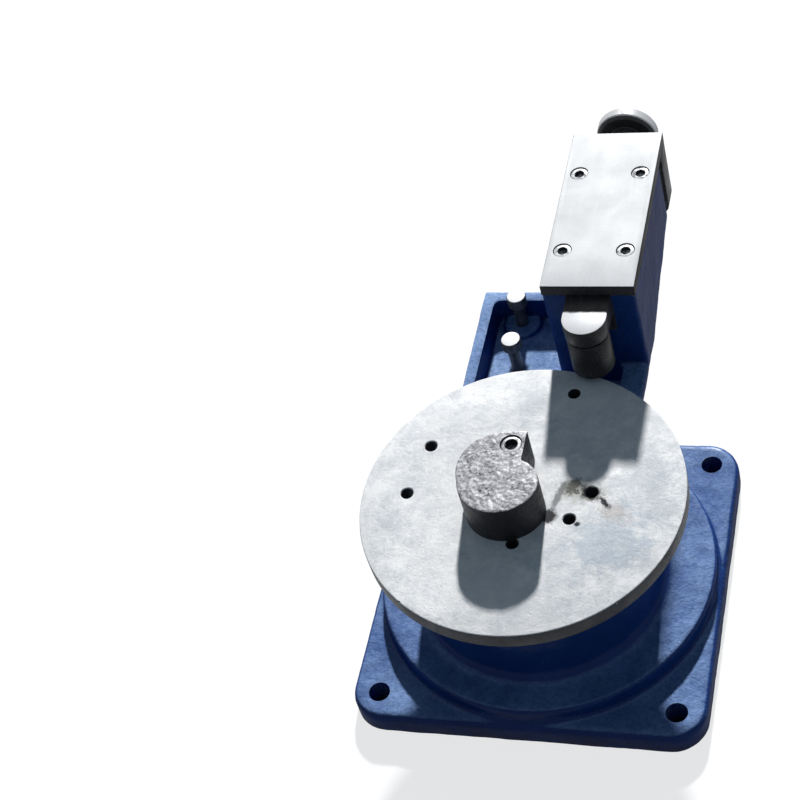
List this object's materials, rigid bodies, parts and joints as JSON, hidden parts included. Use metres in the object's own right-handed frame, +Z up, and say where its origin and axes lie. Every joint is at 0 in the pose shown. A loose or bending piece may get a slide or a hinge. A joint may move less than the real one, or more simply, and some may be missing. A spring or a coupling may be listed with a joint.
{
  "type": "scroll and tube bender",
  "caption": "Bench bender with a turntable that carries a snail-shaped scroll die, and a screw-fed ram with a forming roller, on a blue cast base.",
  "frame": {"origin": "centre of the four foundation holes, on the underside of the foot", "axes": "+X to the right, towards the ram's side; +Y back from the turntable along the ram to the feed knob; +Z up, along the spindle"},
  "size_m": [0.28, 0.502, 0.208],
  "materials": {
    "blue_enamel": "glossy blue enamel on rough cast iron",
    "ground_steel": "ground, lightly scratched",
    "disc_steel": "turned, mottled and scratched",
    "dark_steel": "blackened",
    "black_screws": "black oxide",
    "bronze": "bearing bronze",
    "bearing_steel": "ground",
    "pin_steel": "plain steel",
    "die_steel": "dark, rough, burnt top",
    "ram_steel": "milled"
  },
  "bodies": {
    "frame": {"base_casting": "blue_enamel", "cover_plate": "ground_steel", "cover_screws": "black_screws", "rear_block": "dark_steel", "block_screws": "black_screws", "screw_bush": "bronze", "upper_bush": "bronze", "lower_bush": "bronze", "thrust_race_lower": "bearing_steel", "bending_pins": "pin_steel"},
    "turntable": {"disc": "disc_steel", "spindle": "bearing_steel", "disc_screws": "black_screws", "thrust_race_upper": "bearing_steel", "spindle_washer": "bearing_steel", "spindle_nut": "dark_steel", "scroll_die": "die_steel", "die_screw": "black_screws", "die_dowel": "bearing_steel"},
    "ball_cage": {"thrust_cage": "bronze", "thrust_balls": "bearing_steel"},
    "ram_slide": {"ram": "ram_steel", "ram_nut": "bronze", "nut_screws": "black_screws", "axle_pin": "bearing_steel", "axle_washers": "bearing_steel", "axle_clip": "black_screws"},
    "forming_roller": {"roller": "die_steel", "roller_bush": "bronze"},
    "feed": {"feed_screw": "bearing_steel", "thrust_collar": "dark_steel", "collar_screw": "black_screws", "feed_knob": "dark_steel", "knob_pin": "pin_steel"}
  },
  "joints": [
    {"name": "turntable_spin", "type": "hinge", "parent": "frame", "child": "turntable", "pos_m": [0, -0.01, 0.13], "axis": [0, 0, 1], "continuous": true},
    {"name": "cage_spin", "type": "hinge", "parent": "frame", "child": "ball_cage", "pos_m": [0, -0.01, 0.107], "axis": [0, 0, 1], "continuous": true},
    {"name": "ram_feed", "type": "slide", "parent": "frame", "child": "ram_slide", "axis": [0, -1, 0], "range_m": [0, 0.07]},
    {"name": "roller_spin", "type": "hinge", "parent": "ram_slide", "child": "forming_roller", "pos_m": [0.0375, 0.1185, 0.162], "axis": [0, 0, 1], "continuous": true},
    {"name": "screw_turn", "type": "hinge", "parent": "frame", "child": "feed", "pos_m": [0.0375, 0.3, 0.1789], "axis": [0, 1, 0], "range_deg": [0, 6301]}
  ],
  "couplings": [
    {"joint": "cage_spin", "follows": "turntable_spin", "ratio": 0.5},
    {"joint": "screw_turn", "follows": "ram_feed", "rad_per_m": 1570.8}
  ]
}
